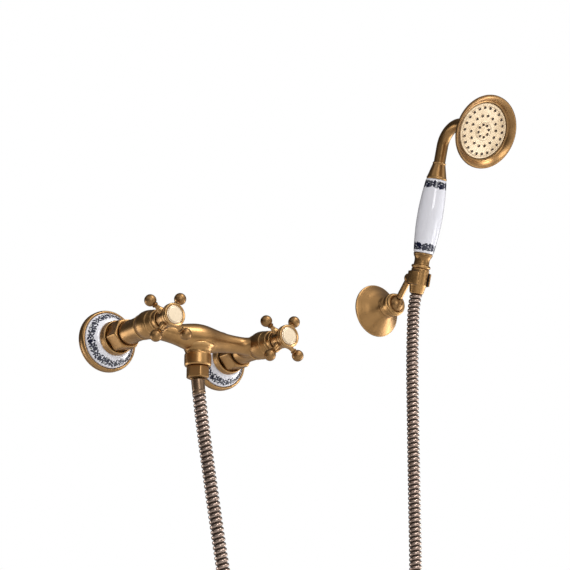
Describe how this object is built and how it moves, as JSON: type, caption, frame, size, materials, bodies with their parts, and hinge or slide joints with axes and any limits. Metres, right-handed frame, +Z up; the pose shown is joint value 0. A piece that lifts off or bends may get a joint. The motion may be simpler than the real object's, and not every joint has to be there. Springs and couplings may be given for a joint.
{
  "type": "exposed bath shower mixer with hand shower",
  "caption": "Wall mounted two-handle shower mixer in aged brass with ceramic trim, flexible hose and a hand shower resting in a ball-jointed wall bracket.",
  "frame": {"origin": "point of the finished wall midway between the two inlets", "axes": "+Z up, +X to the right along the wall for someone facing it, +Y into the wall; the mixer stands out along -Y"},
  "size_m": [0.4684, 0.2619, 0.9394],
  "materials": {
    "aged_brass": "brushed antique brass, darker in the grooves, satin lacquer",
    "pale_brass": "satin pale brass with fine turned rings",
    "plain_brass": "machined brass, unplated",
    "hose_metal": "bronze-plated spiral-wound strip, semi-gloss",
    "white_glaze": "white glazed porcelain with a dark blue-grey scroll band",
    "alumina": "lapped alumina",
    "steel": "stainless steel",
    "black_rubber": "moulded rubber",
    "nylon": "moulded nylon",
    "black_liner": "black moulded plastic"
  },
  "bodies": {
    "root": {"ball_seat": "nylon", "bonnet_L": "aged_brass", "bonnet_R": "aged_brass", "bracket_escutcheon": "aged_brass", "bracket_plate": "steel", "bracket_screw_1": "steel", "bracket_screw_2": "steel", "bracket_socket": "plain_brass", "ceramic_ring_L": "white_glaze", "ceramic_ring_R": "white_glaze", "check_valve": "nylon", "fixed_disc_L": "alumina", "fixed_disc_R": "alumina", "flange_collar_L": "aged_brass", "flange_collar_R": "aged_brass", "hose_ferrule": "hose_metal", "hose_insert": "plain_brass", "hose_loop": "hose_metal", "hose_nut": "aged_brass", "hose_riser": "hose_metal", "hose_washer": "black_rubber", "inlet_union_L": "plain_brass", "inlet_union_R": "plain_brass", "inlet_washer_L": "black_rubber", "inlet_washer_R": "black_rubber", "mixer_body": "aged_brass", "outlet_collar": "aged_brass", "ring_nut": "aged_brass", "stem_seal_L": "black_rubber", "stem_seal_R": "black_rubber", "union_nut_L": "aged_brass", "union_nut_R": "aged_brass", "valve_headwork_L": "plain_brass", "valve_headwork_R": "plain_brass", "wall_flange_L": "aged_brass", "wall_flange_R": "aged_brass"},
    "hot_handle": {"cross_handle_L": "aged_brass", "index_button_L": "pale_brass", "handle_screw_L": "steel", "spindle_L": "plain_brass", "moving_disc_L": "alumina"},
    "cold_handle": {"cross_handle_R": "aged_brass", "index_button_R": "pale_brass", "handle_screw_R": "steel", "spindle_R": "plain_brass", "moving_disc_R": "alumina"},
    "bracket_ball": {"arm_ball": "aged_brass"},
    "holder_arm": {"arm_rod": "aged_brass", "cradle": "aged_brass", "cradle_liner": "black_liner"},
    "hose_end": {"cone_nut": "aged_brass", "riser_insert": "plain_brass", "handset_washer": "black_rubber"},
    "handset": {"handset_tail": "aged_brass", "inner_tube": "steel", "handset_ceramic": "white_glaze", "neck_ferrule": "aged_brass", "handset_elbow": "aged_brass", "spray_head": "aged_brass", "spray_plate": "pale_brass"}
  },
  "joints": [
    {"name": "hot_handle_turn", "type": "hinge", "parent": "root", "child": "hot_handle", "pos_m": [-0.075, -0.13, 0], "axis": [0, -1, 0], "range_deg": [0, 90]},
    {"name": "cold_handle_turn", "type": "hinge", "parent": "root", "child": "cold_handle", "pos_m": [0.075, -0.13, 0], "axis": [0, 1, 0], "range_deg": [0, 90]},
    {"name": "bracket_swivel", "type": "hinge", "parent": "root", "child": "bracket_ball", "pos_m": [0.31375, -0.039, 0.1005], "axis": [0, -1, 0], "range_deg": [-40, 40], "deforming": ["hose_riser"]},
    {"name": "bracket_tilt", "type": "hinge", "parent": "bracket_ball", "child": "holder_arm", "pos_m": [0.31375, -0.039, 0.1005], "axis": [1, 0, 0], "range_deg": [0, 35], "deforming": ["hose_riser"]},
    {"name": "handset_lift", "type": "slide", "parent": "holder_arm", "child": "hose_end", "axis": [0, -0.3019, 0.9533], "range_m": [0, 0.03], "deforming": ["hose_riser"]},
    {"name": "handset_spin", "type": "hinge", "parent": "hose_end", "child": "handset", "pos_m": [0.31375, -0.0843, 0.1225], "axis": [0, -0.3019, 0.9533], "continuous": true}
  ]
}
